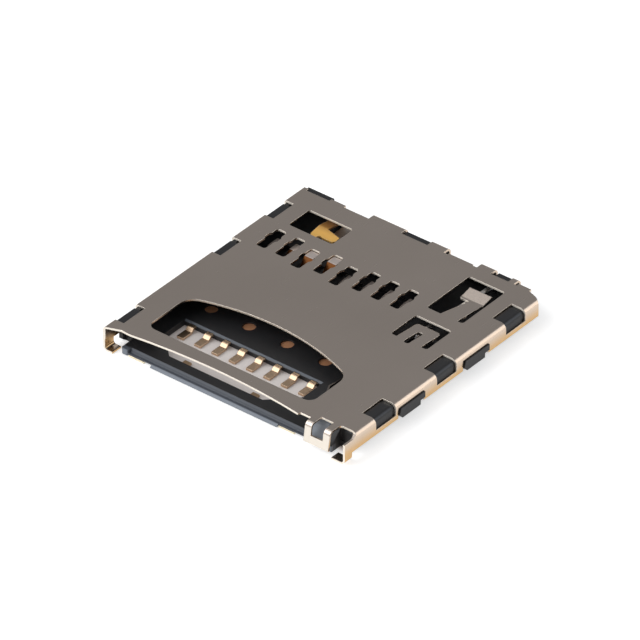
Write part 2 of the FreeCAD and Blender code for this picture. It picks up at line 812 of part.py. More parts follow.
def detect_spring():
    """The moving blade: it rises to a crest, dips to its front edge, and has an arm to the right."""
    path = switch_path(detect_low) + [(detect_crest_y, detect_crest_z), (detect_front, detect_front_z)]
    stem_right = detect_left + detect_stem_width
    sheet = strip_along_x(path, switch_sheet, switch_bend, detect_left, detect_arm_end)
    c = detect_corner
    outline = plate([(detect_left, far), (detect_left, detect_front + c), (detect_left + c, detect_front),
                     (stem_right - c, detect_front), (stem_right + c, detect_arm_front),
                     (detect_arm_end - c, detect_arm_front), (detect_arm_end, detect_arm_front + c),
                     (detect_arm_end, detect_arm_back), (stem_right, detect_arm_root), (stem_right, far)],
                    -1.0, 2 * height)
    notch = Part.makeCylinder(detect_notch, 2 * height, Vector(stem_right, detect_front + c / 2, 0))
    return sheet.common(outline).cut(notch)


def detect_fixed():
    """The fixed blade beside the moving one, below its arm."""
    return strip_along_x(switch_path(fixed_z) + [(fixed_front, fixed_z)], switch_sheet, switch_bend,
                         fixed_left, fixed_left + fixed_width)


def switch_room():
    """Slots through the rear wall for the two blades and their tails."""
    cuts = []
    g = insert_gap
    rise = rear_inner + rear_wall / 2
    half = switch_sheet / 2 + g
    for start, w, z in ((detect_left, detect_stem_width, detect_low), (fixed_left, fixed_width, fixed_z)):
        x0, x1 = start - g, start + w + g
        cuts.append(slab(x0, x1, rise - half, rise + half, -1.0, rear_wall_top + 0.1))
        cuts.append(slab(x0, x1, rise - half, far, -1.0, switch_sheet + switch_bend + g))
        cuts.append(slab(x0, x1, rear_inner - 0.1, rise, z - switch_sheet / 2 - switch_bend - g, far))
    return cuts


def housing():
    body = merged([housing_floor()] + housing_sides())
    body = round_long_edges(body).cut(rear_corner_cut(corner_room))
    latches = [latch(-1, y) for y in left_latches] + [latch(1, y) for y in right_latches]
    body = merged([body] + latches + side_blocks())
    cuts = [spring_channel()]
    for index in range(contact_count):
        cuts += contact_channel(index)
    for index in range(hole_count):
        x = contact_x(2 * index) + contact_pitch / 2
        cuts.append(Part.makeCylinder(hole_radius, 1.0, Vector(x, hole_y, strip_z)))
    cuts += fitting_room(left_pad_x, left_tie_x) + fitting_room(right_pad_x, right_tie_x)
    cuts += switch_room()
    pivot = Vector(pivot_x, pivot_y, pivot_low - slide_gap)
    cuts.append(Part.makeCylinder(pin_radius + pivot_gap, height, pivot))
    return body.cut(Part.makeCompound(cuts))


def track():
    """The cam track: two lanes round a heart-shaped island with a lock notch."""
    reach = pin_radius + pin_gap
    left, right = track_left_lane - reach, track_right_lane + reach
    front = pin_tip_y - travel_locked - travel_over - reach
    pocket = rounded(left, right, front, pin_tip_y + reach, track_floor, slider_top + 0.1, reach * 0.9)
    inner_left, inner_right = track_left_lane + reach, track_right_lane - reach
    middle = (inner_left + inner_right) / 2
    lock = pin_tip_y - travel_locked + reach
    island = plate([(middle, island_back), (inner_left, island_back - island_neck),
                    (inner_left, lock - lock_depth), (middle, lock), (inner_right, lock - lock_depth / 2),
                    (inner_right, island_back - island_neck)], 0, height)
    return pocket.cut(island)


def slider():
    low = floor_top + slide_gap
    body = slab(slider_left, slider_right, slider_front, slider_back, low, slider_top)
    head = slab(slider_right, lug_right, slider_front, lug_back, low, lug_top)
    foot = slab(spring_x - spring_room + slide_gap, lug_right, slider_front, lug_back,
                spring_floor + slide_gap, low)
    leaf_seat = slab(slider_left - 0.1, slider_left + leaf_room, leaf_front - 0.1, leaf_back - leaf_root,
                     leaf_low - slide_gap, slider_top + 0.1)
    leaf_slot = slab(slider_left + leaf_room - leaf_sheet, slider_left + leaf_room,
                     leaf_back - leaf_root - 0.1, leaf_back, leaf_low, slider_top + 0.1)
    return merged([body, head, foot]).cut(track()).cut(leaf_seat).cut(leaf_slot)


def card_hold_spring():
    """A flat leaf on edge, rooted in the slider and bulging towards the card."""
    x = slider_left + leaf_room - leaf_sheet / 2
    path = [(x, leaf_back), (x, leaf_back - leaf_root), (x - leaf_bulge, leaf_bulge_y),
            (x - leaf_sheet, leaf_front)]
    face = bent_strip(path, leaf_sheet, leaf_bend)
    face.translate(Vector(0, 0, leaf_low))
    return face.extrude(Vector(0, 0, leaf_top - leaf_low))


def cam_pin():
    """Bent wire: pivot leg at the rear, tip leg in the track."""
    pivot = Vector(pivot_x, pivot_y, pin_axis_z)
    tip = Vector(track_left_lane, pin_tip_y, pin_axis_z)
    along = (tip - pivot).normalize()
    down = Vector(0, 0, -1)

    def corner(at, before, after):
        p, q = at - before * pin_bend, at + after * pin_bend
        centre = at - before * pin_bend + after * pin_bend
        mid = centre + (at - centre).normalize() * pin_bend
        return p, Part.Arc(p, mid, q).toShape(), q

    up = Vector(0, 0, 1)
    p1, arc1, q1 = corner(pivot, up, along)
    p2, arc2, q2 = corner(tip, along, down)
    path = Part.Wire([Part.makeLine(Vector(pivot.x, pivot.y, pivot_low), p1), arc1,
                      Part.makeLine(q1, p2), arc2,
                      Part.makeLine(q2, Vector(tip.x, tip.y, pin_tip_low))])
    circle = Part.Wire(Part.makeCircle(pin_radius, Vector(pivot.x, pivot.y, pivot_low), Vector(0, 0, 1)))
    return path.makePipeShell([circle], True, True)


def eject_spring():
    """Coil spring between the slider's lug and its seat in the housing."""
    front = lug_back + wire_radius + slide_gap
    length = spring_seat - wire_radius - slide_gap - front
    helix = Part.makeHelix(length / spring_turns, length, spring_radius)
    turns = [2 * math.pi * i / wire_sides for i in range(wire_sides + 1)]
    section = Part.makePolygon([Vector(spring_radius + wire_radius * math.cos(a), 0,
                                       wire_radius * math.sin(a)) for a in turns])
    coil = Part.Wire(helix).makePipeShell([section], True, True)
    coil.rotate(Vector(0, 0, 0), Vector(1, 0, 0), -90)
    coil.translate(Vector(spring_x, front, spring_z))
    return coil


def main():
    write("cover", cover())
    write("housing", housing())
    for index in range(contact_count):
        write(f"contact_{index + 1}", contact(index))
    write("detect_spring", detect_spring())
    write("detect_fixed", detect_fixed())
    write("fitting_left", fitting(left_pad_x, left_tie_x))
    write("fitting_right", fitting(right_pad_x, right_tie_x))
    write("slider", slider())
    write("card_hold_spring", card_hold_spring())
    write("cam_pin", cam_pin())
    write("eject_spring", eject_spring())


main()
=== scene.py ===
# %% [markdown]
# # A low memory card connector, dressed for its photograph
#
# The real object is about as large as a thumbnail: 14 mm wide, 15 mm deep and under 1.3 mm high.
# Every piece of it already comes in the right shape with the frame, down to the contact tips, so
# this lesson is about finishes, light and a camera that looks at something very small. Bright sheet
# metal is the hard part, because metal shows what stands around it more than its own colour.

# %% The frame
import json
import math

import bpy
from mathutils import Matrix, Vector


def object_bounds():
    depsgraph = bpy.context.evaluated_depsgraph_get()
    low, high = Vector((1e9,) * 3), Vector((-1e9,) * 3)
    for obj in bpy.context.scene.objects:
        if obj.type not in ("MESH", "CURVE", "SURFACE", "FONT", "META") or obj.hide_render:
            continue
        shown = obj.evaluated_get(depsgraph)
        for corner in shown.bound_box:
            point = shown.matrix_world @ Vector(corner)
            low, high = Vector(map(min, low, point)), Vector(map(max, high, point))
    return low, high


MM_PER_METRE = 1000.0
MM = 1 / MM_PER_METRE

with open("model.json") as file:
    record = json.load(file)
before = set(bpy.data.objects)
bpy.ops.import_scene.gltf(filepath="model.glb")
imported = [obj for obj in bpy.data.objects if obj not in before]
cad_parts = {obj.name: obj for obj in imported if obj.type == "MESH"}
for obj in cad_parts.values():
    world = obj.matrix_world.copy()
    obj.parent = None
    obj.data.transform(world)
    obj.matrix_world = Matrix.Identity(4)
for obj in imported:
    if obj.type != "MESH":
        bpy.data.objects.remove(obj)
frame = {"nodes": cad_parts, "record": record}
cad_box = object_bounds()
print("nodes:", len(frame["nodes"]), "box in mm:",
      [[round(v * MM_PER_METRE, 2) for v in corner] for corner in cad_box])

# %% [markdown]
# ## Small helpers for materials
#
# A procedural material is a little machine of nodes. Writing `new_node` and `join` once keeps the
# recipes below short enough to read. Most of them are masks: a `ramp` turns a measure into a mask
# from 0 to 1, `times` cuts one mask with another, and `blend_colour` puts a colour where a mask is.

# %% Node helpers
def new_node(tree, kind, **settings):
    """Adds one node and sets its plain properties."""
    node = tree.nodes.new(kind)
    for name, value in settings.items():
        setattr(node, name, value)
    return node


def join(tree, source, target):
    """Draws one wire from an output to an input."""
    tree.links.new(source, target)


def math_node(tree, operation, first, second=None, clamp=False):
    """One arithmetic step on wires or plain numbers."""
    node = new_node(tree, "ShaderNodeMath", operation=operation, use_clamp=clamp)
    for slot, value in zip(node.inputs, (first, second)):
        if value is None:
            continue
        if isinstance(value, (int, float)):
            slot.default_value = value
        else:
            join(tree, value, slot)
    return node.outputs[0]


def times(tree, first, second):
    """Two masks at once, or one mask at part strength."""
    return math_node(tree, "MULTIPLY", first, second)


def about(tree, base, noise, spread):
    """A plain number that a noise raises a little here and there."""
    return math_node(tree, "ADD", times(tree, noise, spread), base)


def ramp(tree, value, low, high):
    """A smooth mask that goes from 0 to 1 as a value goes from low to high."""
    node = new_node(tree, "ShaderNodeMapRange", interpolation_type="SMOOTHSTEP")
    join(tree, value, node.inputs["Value"])
    node.inputs["From Min"].default_value = low
    node.inputs["From Max"].default_value = high
    return node.outputs["Result"]


def blend_colour(tree, mask, first, second):
    """Mixes two colours, each a wire or a plain colour, by a mask."""
    node = new_node(tree, "ShaderNodeMix", data_type="RGBA")
    join(tree, mask, node.inputs["Factor"])
    for name, value in (("A", first), ("B", second)):
        socket = [s for s in node.inputs if s.name == name and s.type == "RGBA"][0]
        if isinstance(value, tuple):
            socket.default_value = value
        else:
            join(tree, value, socket)
    return [s for s in node.outputs if s.type == "RGBA"][0]


print("node helpers ready")

# %% [markdown]
# ## Groups, for what several materials share
#
# Streaks, grain, and rounded edges with a painted highlight come back in many finishes. A node group
# is made once, has named inputs and outputs, and is placed in each material with values of its own.
# Inside a group, places are taken in the object's own coordinates and in millimetres. So a noise has
# a real size, and it stays fixed to the metal from every side.

# %% Group helpers
def new_group(name, inputs, outputs):
    """An empty node group with named inputs and outputs, ready to fill."""
    group = bpy.data.node_groups.new(name, "ShaderNodeTree")
    for label, kind, value in inputs:
        socket = group.interface.new_socket(label, in_out="INPUT", socket_type=kind)
        socket.default_value = value
    for label, kind in outputs:
        group.interface.new_socket(label, in_out="OUTPUT", socket_type=kind)
    start = group.nodes.new("NodeGroupInput")
    end = group.nodes.new("NodeGroupOutput")
    return group, start, end


def place_group(tree, group, **values):
    """Puts a group into a material with its own values."""
    node = tree.nodes.new("ShaderNodeGroup")
    node.node_tree = group
    for name, value in values.items():
        node.inputs[name.replace("_", " ")].default_value = value
    return node


def place_in_mm(group):
    """Where a point lies on the object, in millimetres."""
    place = new_node(group, "ShaderNodeTexCoord")
    in_mm = new_node(group, "ShaderNodeVectorMath", operation="SCALE")
    in_mm.inputs["Scale"].default_value = MM_PER_METRE
    join(group, place.outputs["Object"], in_mm.inputs[0])
    return in_mm.outputs[0]


def noise_at(group, place, scale, detail):
    """A noise at a place, with its scale on a wire."""
    noise = new_node(group, "ShaderNodeTexNoise")
    noise.inputs["Detail"].default_value = detail
    join(group, place, noise.inputs["Vector"])
    join(group, scale, noise.inputs["Scale"])
    return noise.outputs["Fac"]


print("group helpers ready")

# %% [markdown]
# ## Rolled strip
#
# Spring sheet comes off a rolling mill, and plating doesn't hide the mill's fine streaks. They run
# one way, so a noise stretched along that way makes them. The same group gives a slow, cloudy
# change of brightness, which is what keeps a flat plate from looking like paint.

# %% The rolled strip group
def make_rolled_strip():
    group, start, end = new_group(
        "rolled_strip",
        [("Streaks per mm", "NodeSocketFloat", 18.0), ("Stretch", "NodeSocketFloat", 14.0),
         ("Cloud size", "NodeSocketFloat", 4.0)],
        [("Streaks", "NodeSocketFloat"), ("Clouds", "NodeSocketFloat")])
    place = place_in_mm(group)
    squeeze = new_node(group, "ShaderNodeCombineXYZ")
    squeeze.inputs["X"].default_value = 1.0
    squeeze.inputs["Z"].default_value = 1.0
    join(group, math_node(group, "DIVIDE", 1.0, start.outputs["Stretch"]), squeeze.inputs["Y"])
    drawn = new_node(group, "ShaderNodeVectorMath", operation="MULTIPLY")
    join(group, place, drawn.inputs[0])
    join(group, squeeze.outputs[0], drawn.inputs[1])
    streaks = noise_at(group, drawn.outputs[0], start.outputs["Streaks per mm"], 3.0)
    join(group, streaks, end.inputs["Streaks"])
    clouds_per_mm = math_node(group, "DIVIDE", 1.0, start.outputs["Cloud size"])
    join(group, noise_at(group, place, clouds_per_mm, 2.0), end.inputs["Clouds"])
    return group


rolled_strip = make_rolled_strip()
print("group:", rolled_strip.name)

# %% [markdown]
# ## Moulded grain
#
# Heat-resistant resin is filled with glass fibre, so a moulded face is never quite smooth: it has
# a fine grain, and here and there a paler patch where the resin flowed. Two noises of different
# size do both, one for the bump and one for the colour and gloss.

# %% The moulded grain group
def make_moulded_grain():
    group, start, end = new_group(
        "moulded_grain",
        [("Grains per mm", "NodeSocketFloat", 22.0), ("Patch size", "NodeSocketFloat", 1.6)],
        [("Grain", "NodeSocketFloat"), ("Patches", "NodeSocketFloat")])
    place = place_in_mm(group)
    join(group, noise_at(group, place, start.outputs["Grains per mm"], 4.0), end.inputs["Grain"])
    patches_per_mm = math_node(group, "DIVIDE", 1.0, start.outputs["Patch size"])
    join(group, noise_at(group, place, patches_per_mm, 3.0), end.inputs["Patches"])
    return group


moulded_grain = make_moulded_grain()
print("group:", moulded_grain.name)

# %% [markdown]
# ## Where on the part a point lies
#
# No finish here is the same all over. The cover's top is a neutral nickel, and towards the soldering
# feet it turns golden. The contacts change colour along their way, and the sill at the mouth gets a
# painted sheen. A group that tells a point's place in millimetres, and which way its face looks, lets
# one material hold all that.

# %% The part zones group
def make_part_zones():
    group, start, end = new_group(
        "part_zones", [], [("Height mm", "NodeSocketFloat"), ("Faces up", "NodeSocketFloat"),
                           ("Faces aside", "NodeSocketFloat"), ("Across mm", "NodeSocketFloat"),
                           ("Along mm", "NodeSocketFloat")])
    place = new_node(group, "ShaderNodeTexCoord")
    split = new_node(group, "ShaderNodeSeparateXYZ")
    join(group, place.outputs["Object"], split.inputs[0])
    for axis, label in (("X", "Across mm"), ("Y", "Along mm"), ("Z", "Height mm")):
        join(group, times(group, split.outputs[axis], MM_PER_METRE), end.inputs[label])
    shape = new_node(group, "ShaderNodeNewGeometry")
    way = new_node(group, "ShaderNodeSeparateXYZ")
    join(group, shape.outputs["True Normal"], way.inputs[0])
    join(group, way.outputs["Z"], end.inputs["Faces up"])
    join(group, math_node(group, "ABSOLUTE", way.outputs["X"]), end.inputs["Faces aside"])
    return group


part_zones = make_part_zones()
print("group:", part_zones.name)

# %% [markdown]
# ## Cut edges
#
# A press cuts sheet by shearing it, and the sheared edge is rough, so it takes light from every
# side and stands out pale around each window. The materials put that paleness in as a painted
# highlight on the edges, and moulded edges get a painted highlight as well. A Bevel node rounds the
# normal near an edge. Where the rounded normal and the true one differ, there is an edge, and that
# makes the mask.

# %% The rounded edges group
EDGE_TURN = (0.995, 0.80)  # the cosine between both normals where the mask starts and where it is full


def make_rounded_edges():
    group, start, end = new_group(
        "rounded_edges", [("Radius mm", "NodeSocketFloat", 0.03)],
        [("Normal", "NodeSocketVector"), ("Edge", "NodeSocketFloat")])
    rounding = new_node(group, "ShaderNodeBevel", samples=8)
    join(group, times(group, start.outputs["Radius mm"], MM), rounding.inputs["Radius"])
    shape = new_node(group, "ShaderNodeNewGeometry")
    turned = new_node(group, "ShaderNodeVectorMath", operation="DOT_PRODUCT")
    join(group, rounding.outputs["Normal"], turned.inputs[0])
    join(group, shape.outputs["Normal"], turned.inputs[1])
    join(group, rounding.outputs["Normal"], end.inputs["Normal"])
    join(group, ramp(group, turned.outputs["Value"], *EDGE_TURN), end.inputs["Edge"])
    return group


rounded_edges = make_rounded_edges()
print("group:", rounded_edges.name)

# %% [markdown]
# ## Starting and ending a material
#
# Each material starts with one Principled shader. Each ends with a bump: the fine height of streaks
# or grain, laid on top of the rounded edges, so that small light breaks up as on the real surface.

# %% Material helpers
def start_material(name):
    """A new material with its Principled shader wired to the output."""
    material = bpy.data.materials.new(name)
    material.use_nodes = True
    tree = material.node_tree
    shader = tree.nodes["Principled BSDF"]
    return material, tree, shader


def bump_from(tree, shader, height, strength, distance_mm, edges):
    """Feeds a height into the shader's normal, on top of the rounded edges."""
    bump = new_node(tree, "ShaderNodeBump")
    bump.inputs["Strength"].default_value = strength
    bump.inputs["Distance"].default_value = distance_mm * MM
    join(tree, height, bump.inputs["Height"])
    join(tree, edges.outputs["Normal"], bump.inputs["Normal"])
    join(tree, bump.outputs["Normal"], shader.inputs["Normal"])


print("material helpers ready")

# %% [markdown]
# ## The plated cover
#
# The cover is thin spring sheet with a bright nickel plate. The wide top is calm and grey because
# it mirrors the dim upper room; folds and walls are paler because they mirror the white table. So
# the material stays a plain metal with a small roughness, and the light does most of the rest. The
# golden tint towards the soldering feet is in the colour. The pale cut edges and upright cut faces
# are a painted highlight in the colour. In the slots the cut faces would mirror only the dark
# inside, but a torn face scatters light, so they are nearly matt.

# %% The cover's material
# Each pair below a colour says where its mask starts and where it is full: a place on the part in
# mm, or how far up or aside a face looks, from 0 to 1.
NICKEL = ((0.560, 0.483, 0.424, 1), (0.654, 0.567, 0.500, 1))
GOLDEN_WALL = ((0.70, 0.56, 0.44, 1), (0.76, 0.49, 0.23, 1))
WALL_HEIGHT = (1.05, 0.45)
FOLD_ASIDE = (0.40, 0.90)
# painted highlight: the pale colour of cut edges and upright cut faces
CUT_HIGHLIGHT = (0.97, 0.90, 0.80, 1)
CUT_NOT_UP = (0.40, 0.10)
CUT_NOT_ASIDE = (0.80, 0.40)
TOP_SHEET_HEIGHT = (1.14, 1.17)
SLOTS_ALONG = (-1.5, -0.5)


def make_cover_plate():
    material, tree, shader = start_material("nickel_sheet")
    zones = place_group(tree, part_zones)
    strip = place_group(tree, rolled_strip, Streaks_per_mm=16.0, Stretch=18.0, Cloud_size=5.0)
    edges = place_group(tree, rounded_edges, Radius_mm=0.03)
    height, aside = zones.outputs["Height mm"], zones.outputs["Faces aside"]

    nickel = blend_colour(tree, strip.outputs["Clouds"], *NICKEL)
    gold = blend_colour(tree, ramp(tree, height, *WALL_HEIGHT), *GOLDEN_WALL)
    body = blend_colour(tree, ramp(tree, aside, *FOLD_ASIDE), nickel, gold)
    upright = ramp(tree, zones.outputs["Faces up"], *CUT_NOT_UP)
    sheared = times(tree, upright, ramp(tree, aside, *CUT_NOT_ASIDE))
    # painted highlight on cut edges and on the upright faces of the cuts
    cut = math_node(tree, "MAXIMUM", times(tree, edges.outputs["Edge"], 0.55), sheared)
    join(tree, blend_colour(tree, cut, body, CUT_HIGHLIGHT), shader.inputs["Base Color"])

    in_a_slot = times(tree, ramp(tree, height, *TOP_SHEET_HEIGHT),
                      ramp(tree, zones.outputs["Along mm"], *SLOTS_ALONG))
    torn = times(tree, times(tree, sheared, in_a_slot), 0.80)
    join(tree, math_node(tree, "SUBTRACT", 1.0, torn), shader.inputs["Metallic"])
    plain = about(tree, 0.20, strip.outputs["Streaks"], 0.10)
    join(tree, math_node(tree, "ADD", plain, times(tree, cut, 0.25)), shader.inputs["Roughness"])
    bump_from(tree, shader, strip.outputs["Streaks"], 0.05, 0.01, edges)
    return material


cover_plate = make_cover_plate()
print("material:", cover_plate.name)

# %% [markdown]
# ## The black moulding
#
# Housing and slider are one resin. It isn't quite black: skin and bevels catch the lamp and read
# blue-grey, while the deep channels stay dark. The patches steer both the colour and the gloss. The
# sill across the mouth is painted paler towards its lip, and faces that slope by about 45 degrees get
# a colour of their own, palest at the front window and at the stop beside the front tab. Both are a
# painted sheen of the front lamp, which these faces catch.

# %% The moulding's painted sheen
# painted sheen: the sill and its lip are paler where they catch the front lamp
SILL_SHEEN = (0.085, 0.097, 0.120, 1)
SILL_ALONG = (-6.66, -6.80)
SILL_HEIGHT = (0.42, 0.36)
LIP_HIGHLIGHT = (0.24, 0.27, 0.32, 1)
LIP_ALONG = (-6.92, -6.97)
BEVEL_UP = ((0.45, 0.60), (0.92, 0.80))  # neither upright nor level
BEVEL_HEIGHT = (0.22, 0.30)
# painted sheen on faces that slope by about 45 degrees, stronger or weaker by place
BEVEL_AT_THE_MOUTH = (0.020, 0.020, 0.023, 1)
BEVEL_OF_THE_WINDOW = (0.10, 0.115, 0.14, 1)
WINDOW_ALONG = (-3.60, -3.50)
BEVEL_NEAR_THE_TOP = (0.045, 0.050, 0.060, 1)
NOT_NEAR_THE_TOP = (0.90, 0.80)
BEVEL_OF_THE_STOP = (0.25, 0.28, 0.33, 1)
STOP_ALONG = (-6.10, -6.20)
STOP_ACROSS = (5.45, 5.30)


def painted_sill_sheen(tree, zones, skin):
    """The skin with a painted sheen: a paler sill and a still paler lip; only low places count as the
    sill.
    """
    along = zones.outputs["Along mm"]
    low = ramp(tree, zones.outputs["Height mm"], *SILL_HEIGHT)
    skin = blend_colour(tree, times(tree, ramp(tree, along, *SILL_ALONG), low), skin, SILL_SHEEN)
    return blend_colour(tree, times(tree, ramp(tree, along, *LIP_ALONG), low), skin, LIP_HIGHLIGHT)


def painted_bevel_sheen(tree, zones, skin):
    """The skin with a painted sheen: faces that slope by about 45 degrees get a colour of their own."""
    along, height, up = (zones.outputs[label] for label in ("Along mm", "Height mm", "Faces up"))
    bevel = blend_colour(tree, ramp(tree, along, *WINDOW_ALONG),
                         BEVEL_AT_THE_MOUTH, BEVEL_OF_THE_WINDOW)
    bevel = blend_colour(tree, ramp(tree, height, *NOT_NEAR_THE_TOP), BEVEL_NEAR_THE_TOP, bevel)
    at_the_stop = times(tree, ramp(tree, along, *STOP_ALONG),
                        ramp(tree, zones.outputs["Across mm"], *STOP_ACROSS))
    bevel = blend_colour(tree, at_the_stop, bevel, BEVEL_OF_THE_STOP)
    steeper, flatter = BEVEL_UP
    slope = times(tree, ramp(tree, up, *steeper), ramp(tree, up, *flatter))
    slope = times(tree, slope, ramp(tree, height, *BEVEL_HEIGHT))
    return blend_colour(tree, slope, skin, bevel)


# the painted sheen of the sill and the bevels
print("worn places of the moulding ready")

# %% [markdown]
# ### The resin itself
#
# Both moulded pieces get the same recipe. The slider is a touch paler and glossier, because it is a
# small piece from a finer mould and gets polished where it slides.

# %% The moulding's materials
# painted highlight along the moulded edges
MOULDED_EDGE_HIGHLIGHT = (0.05, 0.05, 0.055, 1)


def make_moulding(name, dark, pale, roughness):
    material, tree, shader = start_material(name)
    zones = place_group(tree, part_zones)
    grain = place_group(tree, moulded_grain, Grains_per_mm=24.0, Patch_size=1.4)
    edges = place_group(tree, rounded_edges, Radius_mm=0.03)
    skin = blend_colour(tree, grain.outputs["Patches"], dark, pale)
    # painted sheen on the sill and the bevels
    skin = painted_bevel_sheen(tree, zones, painted_sill_sheen(tree, zones, skin))
    # painted highlight along the edges
    skin = blend_colour(tree, times(tree, edges.outputs["Edge"], 0.5), skin, MOULDED_EDGE_HIGHLIGHT)
    join(tree, skin, shader.inputs["Base Color"])
    join(tree, about(tree, roughness, grain.outputs["Patches"], 0.14), shader.inputs["Roughness"])
    bump_from(tree, shader, grain.outputs["Grain"], 0.18, 0.012, edges)
    return material


black_moulding = make_moulding(
    "black_moulding", (0.012, 0.012, 0.0135, 1), (0.022, 0.022, 0.024, 1), 0.42)
slider_moulding = make_moulding(
    "slider_moulding", (0.014, 0.014, 0.0155, 1), (0.024, 0.024, 0.026, 1), 0.38)
print("materials:", black_moulding.name, slider_moulding.name)

# %% [markdown]
# ## Contacts
#
# Each contact is one strip that changes colour on its way: a gold-brown tail on the board, browner
# and dull below the card, amber on the slope up to its tip, and a grey crown where the card rubs. The
# crown's grey is a painted reflection of the cover above it, the dark amber of the slope is painted
# shade, and the edges get a painted highlight. Dull and rubbed places also have less of the metal's
# shine.

# %% The contacts' material
TAIL = (0.72, 0.52, 0.355, 1)
BELOW_THE_CARD = (0.75, 0.36, 0.19, 1)
CARD_ALONG = (-3.4, -2.9)
# painted shade: the slope up to the tip is dark amber
SLOPE_PAINTED_SHADE = (0.070, 0.018, 0.000, 1)
TIP_ALONG = (0.6, 1.6)
# painted reflection: the crown is grey like the cover above it
CROWN_PAINTED_REFLECTION = (0.70, 0.62, 0.58, 1)
CROWN_UP = (0.90, 0.97)
TARNISH = (0.24, 0.15, 0.09, 1)
# painted highlight along the contacts' edges
CONTACT_EDGE_HIGHLIGHT = (0.95, 0.84, 0.68, 1)
FINE_STRIP = {"Streaks_per_mm": 30.0, "Stretch": 10.0, "Cloud_size": 0.8}


def fine_surface(tree, shader, strip, edges, roughness):
    """Roughness and bump of a thin strip."""
    streaks = strip.outputs["Streaks"]
    join(tree, about(tree, roughness, streaks, 0.12), shader.inputs["Roughness"])
    bump_from(tree, shader, streaks, 0.06, 0.006, edges)


def make_contact_metal():
    material, tree, shader = start_material("contact_plating")
    zones = place_group(tree, part_zones)
    strip = place_group(tree, rolled_strip, **FINE_STRIP)
    edges = place_group(tree, rounded_edges, Radius_mm=0.025)
    below_card = ramp(tree, zones.outputs["Along mm"], *CARD_ALONG)
    at_the_tip = ramp(tree, zones.outputs["Along mm"], *TIP_ALONG)
    flat = ramp(tree, zones.outputs["Faces up"], *CROWN_UP)

    # painted shade on the slope, painted reflection on the crown
    shade = blend_colour(tree, at_the_tip, blend_colour(tree, below_card, TAIL, BELOW_THE_CARD),
                         blend_colour(tree, flat, SLOPE_PAINTED_SHADE, CROWN_PAINTED_REFLECTION))
    shade = blend_colour(tree, times(tree, strip.outputs["Clouds"], 0.25), shade, TARNISH)
    shade = blend_colour(tree, times(tree, edges.outputs["Edge"], 0.30), shade, CONTACT_EDGE_HIGHLIGHT)
    join(tree, shade, shader.inputs["Base Color"])

    dull = times(tree, math_node(tree, "SUBTRACT", below_card, at_the_tip, clamp=True), 0.8)
    rubbed = times(tree, times(tree, at_the_tip, flat), 0.45)
    matt = math_node(tree, "ADD", dull, rubbed)
    join(tree, math_node(tree, "SUBTRACT", 1.0, matt), shader.inputs["Metallic"])
    fine_surface(tree, shader, strip, edges, 0.24)
    return material


contact_metal = make_contact_metal()
print("material:", contact_metal.name)

# %% [markdown]
# ## Blades, fittings and wire
#
# The other small metal pieces differ mostly in colour: a gilt blade, gilt fittings, and plain drawn
# wire. One function takes a colour at the mouth end and one at the rear end. On the gilt blade the
# darker rear colour is painted shade under the cover, on the gilt fittings it is painted shade under
# the sill, and all but the leaf spring get a painted highlight on their edges.

# %% The small metal materials
STRIP_TARNISH = (0.30, 0.24, 0.16, 1)
STRIP_EDGE_HIGHLIGHT = (0.98, 0.92, 0.74, 1)
STRIPS = {
    # colour at the mouth and at the rear, the change between them in mm along the part,
    # roughness, how strong the painted edge highlight is, share of metal
    # painted shade: the blade is darker towards the rear, under the cover
    "gilt_blade": ((1.00, 0.56, 0.12, 1), (0.40, 0.17, 0.03, 1), (5.1, 5.7), 0.30, 0.6, 0.2),
    "fixed_blade": ((0.60, 0.56, 0.53, 1), (0.60, 0.56, 0.53, 1), (4.0, 7.0), 0.26, 0.3, 1.0),
    # painted shade: the fitting is darker at its rear, under the sill
    "gilt_fitting": ((0.98, 0.88, 0.68, 1), (0.50, 0.33, 0.20, 1), (-6.6, -6.1), 0.26, 0.3, 1.0),
    "spring_wire": ((0.58, 0.58, 0.59, 1), (0.62, 0.62, 0.63, 1), (-3.0, 7.0), 0.22, 0.3, 1.0),
    "spring_leaf": ((0.22, 0.20, 0.19, 1), (0.22, 0.20, 0.19, 1), (-4.0, 0.0), 0.30, 0.0, 1.0),
}


def make_strip_metal(name, mouth, rear, change, roughness, edge_highlight, metallic):
    material, tree, shader = start_material(name)
    zones = place_group(tree, part_zones)
    strip = place_group(tree, rolled_strip, **FINE_STRIP)
    edges = place_group(tree, rounded_edges, Radius_mm=0.025)
    # from the mouth colour to the rear colour, which on the gilt pieces is painted shade
    shade = blend_colour(tree, ramp(tree, zones.outputs["Along mm"], *change), mouth, rear)
    shade = blend_colour(tree, times(tree, strip.outputs["Clouds"], 0.20), shade, STRIP_TARNISH)
    # painted highlight along the edges
    shade = blend_colour(tree, times(tree, edges.outputs["Edge"], edge_highlight), shade, STRIP_EDGE_HIGHLIGHT)
    join(tree, shade, shader.inputs["Base Color"])
    shader.inputs["Metallic"].default_value = metallic
    fine_surface(tree, shader, strip, edges, roughness)
    return material


metals = {name: make_strip_metal(name, *recipe) for name, recipe in STRIPS.items()}
metals["contact_plating"] = contact_metal
print("materials:", sorted(metals))

# %% [markdown]
# ## Dressing the nodes
#
# The record says which material slot each node has, so one loop hands out the finishes.

# %% Materials onto nodes
finishes = dict(metals, nickel_sheet=cover_plate, black_moulding=black_moulding,
                slider_moulding=slider_moulding)
slot_of = {entry["node"]: entry["material_slot"] for entry in frame["record"]["subparts"]}
for name, node in frame["nodes"].items():
    node.data.materials.clear()
    node.data.materials.append(finishes[slot_of[name]])
print("dressed:", len(slot_of))

# %% [markdown]
# ## The table
#
# Product photographs on white are made on a bright table. The floor is a pale sheet that still
# takes the part's soft shadow. To the camera and to mirrors in the metal it also gives off a little
# light of its own, a bit more to the camera, so that it reads as white without more light on the
# part. Below the part it gives off less and is darker and warmer, a painted shadow that reads as a
# pale grey through the windows.

